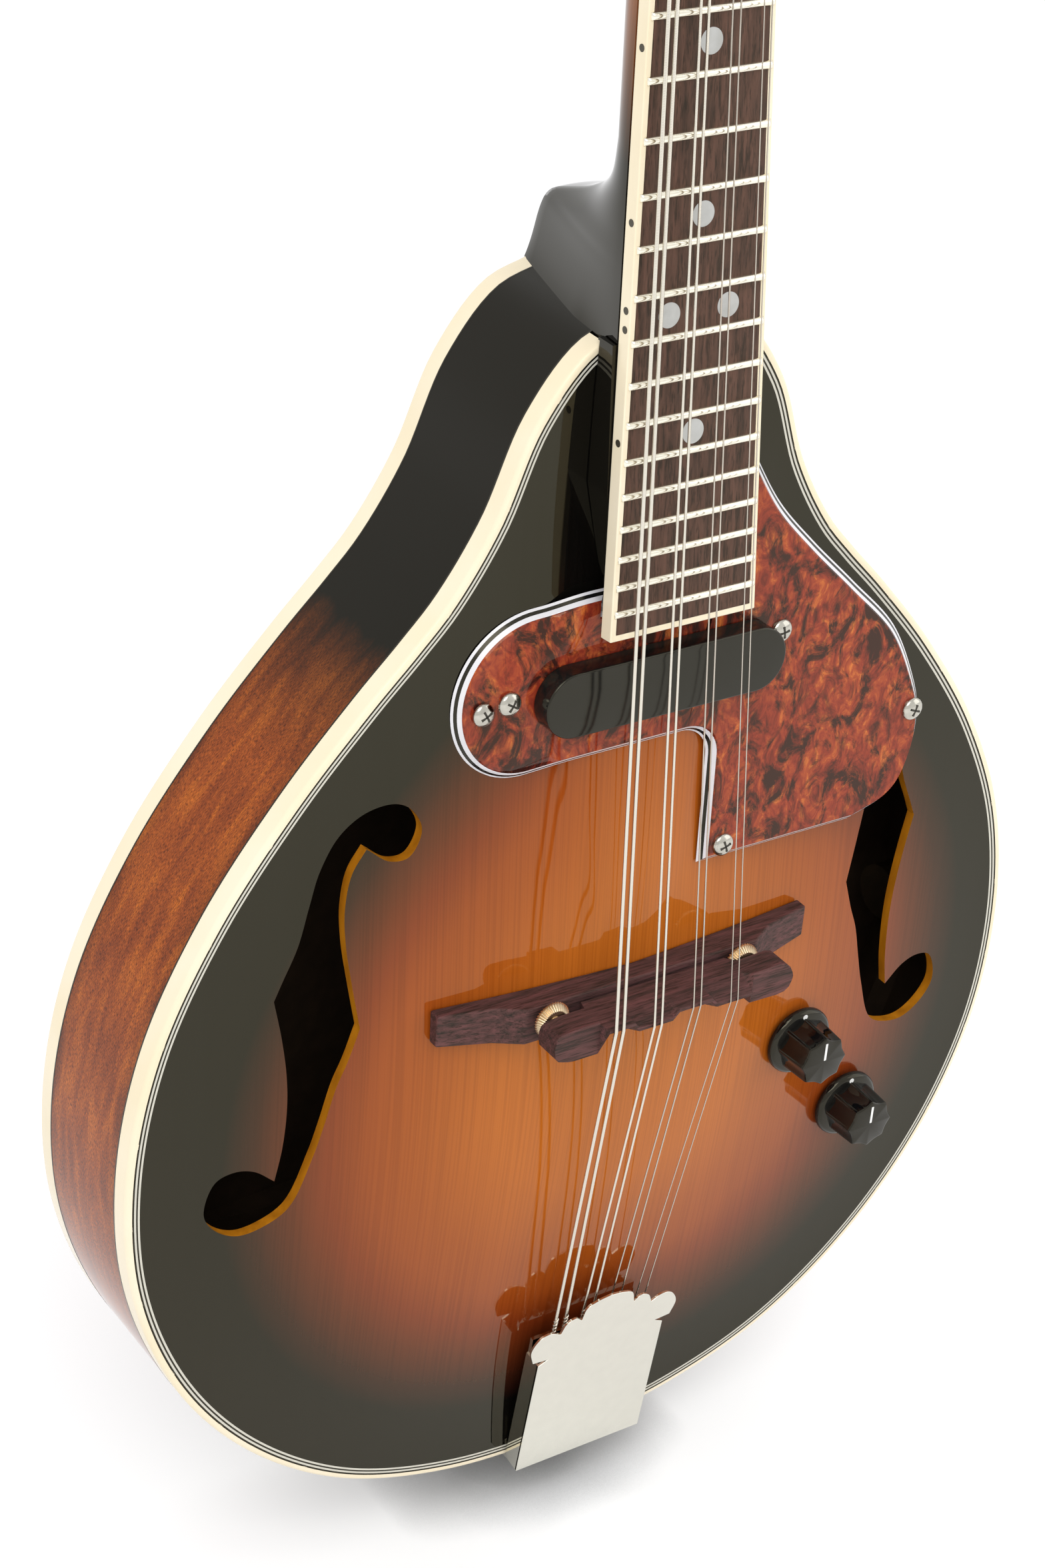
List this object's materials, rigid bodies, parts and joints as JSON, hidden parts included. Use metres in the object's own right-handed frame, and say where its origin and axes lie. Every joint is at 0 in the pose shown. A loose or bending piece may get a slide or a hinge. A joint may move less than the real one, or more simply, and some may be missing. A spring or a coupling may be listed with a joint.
{
  "type": "electro-acoustic mandolin",
  "caption": "Teardrop-bodied electric acoustic mandolin with an arched top, f-holes, floating bridge, pickguard with pickup, control knobs and geared tuners.",
  "frame": {"origin": "centre of the strap button's end face at the tail, where the instrument stands in a stand", "axes": "+Z from the tail to the head, -Y out of the soundboard, +X to the treble side"},
  "size_m": [0.2743, 0.1061, 0.6699],
  "materials": {
    "sunburst_top": "gloss lacquer, sunburst from amber to near black",
    "rim_wood": "gloss lacquer over ribbon-grained mahogany",
    "inner_wood": "bare sanded wood",
    "black_lacquer": "gloss black lacquer",
    "cream_binding": "cream, polished",
    "bone": "polished bone",
    "rosewood": "dry, satin, open pores",
    "nickel": "polished nickel plate",
    "brass": "knurled brass",
    "steel": "plain and wound steel wire",
    "tortoise": "tortoise pattern, polished",
    "black_plastic": "gloss black",
    "button_plastic": "pearl cream, polished"
  },
  "bodies": {
    "instrument": {"soundboard": "sunburst_top", "back_plate": "rim_wood", "rim": "rim_wood", "top_binding": "cream_binding", "back_binding": "cream_binding", "neck_block": "inner_wood", "tail_block": "inner_wood", "tone_bar_bass": "inner_wood", "tone_bar_treble": "inner_wood", "back_brace_upper": "inner_wood", "back_brace_lower": "inner_wood", "neck": "black_lacquer", "truss_rod": "steel", "truss_rod_cover": "black_plastic", "fingerboard": "rosewood", "fingerboard_binding": "cream_binding", "nut": "bone", "fingerboard_support": "black_lacquer", "tuner_plate_bass": "nickel", "tuner_plate_treble": "nickel", "bridge_base": "rosewood", "tailpiece_frame": "nickel", "strap_button": "nickel", "pickguard": "tortoise", "pickup": "black_plastic", "volume_pot": "nickel", "tone_pot": "nickel", "output_jack": "nickel", "string_1": "steel", "string_2": "steel", "string_3": "steel", "string_4": "steel", "string_5": "steel", "string_6": "steel", "string_7": "steel", "string_8": "steel"},
    "saddle": {"bridge_saddle": "rosewood"},
    "bass_wheel": {"thumbwheel_bass": "brass"},
    "treble_wheel": {"thumbwheel_treble": "brass"},
    "tail_cover": {"tailpiece_cover": "nickel"},
    "volume": {"volume_knob": "black_plastic"},
    "tone": {"tone_knob": "black_plastic"},
    "tuner_1": {"tuner_button_1": "button_plastic"},
    "post_1": {"string_post_1": "nickel"},
    "tuner_2": {"tuner_button_2": "button_plastic"},
    "post_2": {"string_post_2": "nickel"},
    "tuner_3": {"tuner_button_3": "button_plastic"},
    "post_3": {"string_post_3": "nickel"},
    "tuner_4": {"tuner_button_4": "button_plastic"},
    "post_4": {"string_post_4": "nickel"},
    "tuner_5": {"tuner_button_5": "button_plastic"},
    "post_5": {"string_post_5": "nickel"},
    "tuner_6": {"tuner_button_6": "button_plastic"},
    "post_6": {"string_post_6": "nickel"},
    "tuner_7": {"tuner_button_7": "button_plastic"},
    "post_7": {"string_post_7": "nickel"},
    "tuner_8": {"tuner_button_8": "button_plastic"},
    "post_8": {"string_post_8": "nickel"}
  },
  "joints": [
    {"name": "saddle_height", "type": "slide", "parent": "instrument", "child": "saddle", "axis": [0, -1, 0], "range_m": [-0.001, 0]},
    {"name": "thumbwheel_bass_turn", "type": "hinge", "parent": "saddle", "child": "bass_wheel", "pos_m": [-0.029, -0.042, 0.1781], "axis": [0, -1, 0], "range_deg": [-455, 0]},
    {"name": "thumbwheel_treble_turn", "type": "hinge", "parent": "saddle", "child": "treble_wheel", "pos_m": [0.029, -0.042, 0.1781], "axis": [0, -1, 0], "range_deg": [-455, 0]},
    {"name": "tailpiece_cover_lift", "type": "slide", "parent": "instrument", "child": "tail_cover", "axis": [0, -1, 0], "range_m": [0, 0.015]},
    {"name": "volume_turn", "type": "hinge", "parent": "instrument", "child": "volume", "pos_m": [0.0615, -0.0306, 0.13659], "axis": [0, -1, 0], "range_deg": [-150, 150]},
    {"name": "tone_turn", "type": "hinge", "parent": "instrument", "child": "tone", "pos_m": [0.0853, -0.0267, 0.10539], "axis": [0, -1, 0], "range_deg": [-150, 150]},
    {"name": "tuner_1_turn", "type": "hinge", "parent": "instrument", "child": "tuner_1", "pos_m": [-0.0185, 0.0199, 0.56894], "axis": [1, 0, 0], "continuous": true},
    {"name": "post_1_turn", "type": "hinge", "parent": "instrument", "child": "post_1", "pos_m": [-0.0185, 0.0007, 0.56866], "axis": [0, -0.9373, 0.3485], "continuous": true},
    {"name": "tuner_2_turn", "type": "hinge", "parent": "instrument", "child": "tuner_2", "pos_m": [-0.0185, 0.02791, 0.5905], "axis": [1, 0, 0], "continuous": true},
    {"name": "post_2_turn", "type": "hinge", "parent": "instrument", "child": "post_2", "pos_m": [-0.0185, 0.00872, 0.59022], "axis": [0, -0.9373, 0.3485], "continuous": true},
    {"name": "tuner_3_turn", "type": "hinge", "parent": "instrument", "child": "tuner_3", "pos_m": [-0.0185, 0.03593, 0.61206], "axis": [1, 0, 0], "continuous": true},
    {"name": "post_3_turn", "type": "hinge", "parent": "instrument", "child": "post_3", "pos_m": [-0.0185, 0.01673, 0.61178], "axis": [0, -0.9373, 0.3485], "continuous": true},
    {"name": "tuner_4_turn", "type": "hinge", "parent": "instrument", "child": "tuner_4", "pos_m": [-0.0185, 0.04395, 0.63362], "axis": [1, 0, 0], "continuous": true},
    {"name": "post_4_turn", "type": "hinge", "parent": "instrument", "child": "post_4", "pos_m": [-0.0185, 0.02475, 0.63334], "axis": [0, -0.9373, 0.3485], "continuous": true},
    {"name": "tuner_5_turn", "type": "hinge", "parent": "instrument", "child": "tuner_5", "pos_m": [0.0185, 0.0199, 0.56894], "axis": [1, 0, 0], "continuous": true},
    {"name": "post_5_turn", "type": "hinge", "parent": "instrument", "child": "post_5", "pos_m": [0.0185, 0.0007, 0.56866], "axis": [0, -0.9373, 0.3485], "continuous": true},
    {"name": "tuner_6_turn", "type": "hinge", "parent": "instrument", "child": "tuner_6", "pos_m": [0.0185, 0.02791, 0.5905], "axis": [1, 0, 0], "continuous": true},
    {"name": "post_6_turn", "type": "hinge", "parent": "instrument", "child": "post_6", "pos_m": [0.0185, 0.00872, 0.59022], "axis": [0, -0.9373, 0.3485], "continuous": true},
    {"name": "tuner_7_turn", "type": "hinge", "parent": "instrument", "child": "tuner_7", "pos_m": [0.0185, 0.03593, 0.61206], "axis": [1, 0, 0], "continuous": true},
    {"name": "post_7_turn", "type": "hinge", "parent": "instrument", "child": "post_7", "pos_m": [0.0185, 0.01673, 0.61178], "axis": [0, -0.9373, 0.3485], "continuous": true},
    {"name": "tuner_8_turn", "type": "hinge", "parent": "instrument", "child": "tuner_8", "pos_m": [0.0185, 0.04395, 0.63362], "axis": [1, 0, 0], "continuous": true},
    {"name": "post_8_turn", "type": "hinge", "parent": "instrument", "child": "post_8", "pos_m": [0.0185, 0.02475, 0.63334], "axis": [0, -0.9373, 0.3485], "continuous": true}
  ],
  "couplings": [
    {"joint": "thumbwheel_bass_turn", "follows": "saddle_height", "rad_per_m": 7854},
    {"joint": "thumbwheel_treble_turn", "follows": "saddle_height", "rad_per_m": 7854},
    {"joint": "post_1_turn", "follows": "tuner_1_turn", "ratio": 0.083333},
    {"joint": "post_2_turn", "follows": "tuner_2_turn", "ratio": 0.083333},
    {"joint": "post_3_turn", "follows": "tuner_3_turn", "ratio": 0.083333},
    {"joint": "post_4_turn", "follows": "tuner_4_turn", "ratio": 0.083333},
    {"joint": "post_5_turn", "follows": "tuner_5_turn", "ratio": 0.083333},
    {"joint": "post_6_turn", "follows": "tuner_6_turn", "ratio": 0.083333},
    {"joint": "post_7_turn", "follows": "tuner_7_turn", "ratio": 0.083333},
    {"joint": "post_8_turn", "follows": "tuner_8_turn", "ratio": 0.083333}
  ]
}
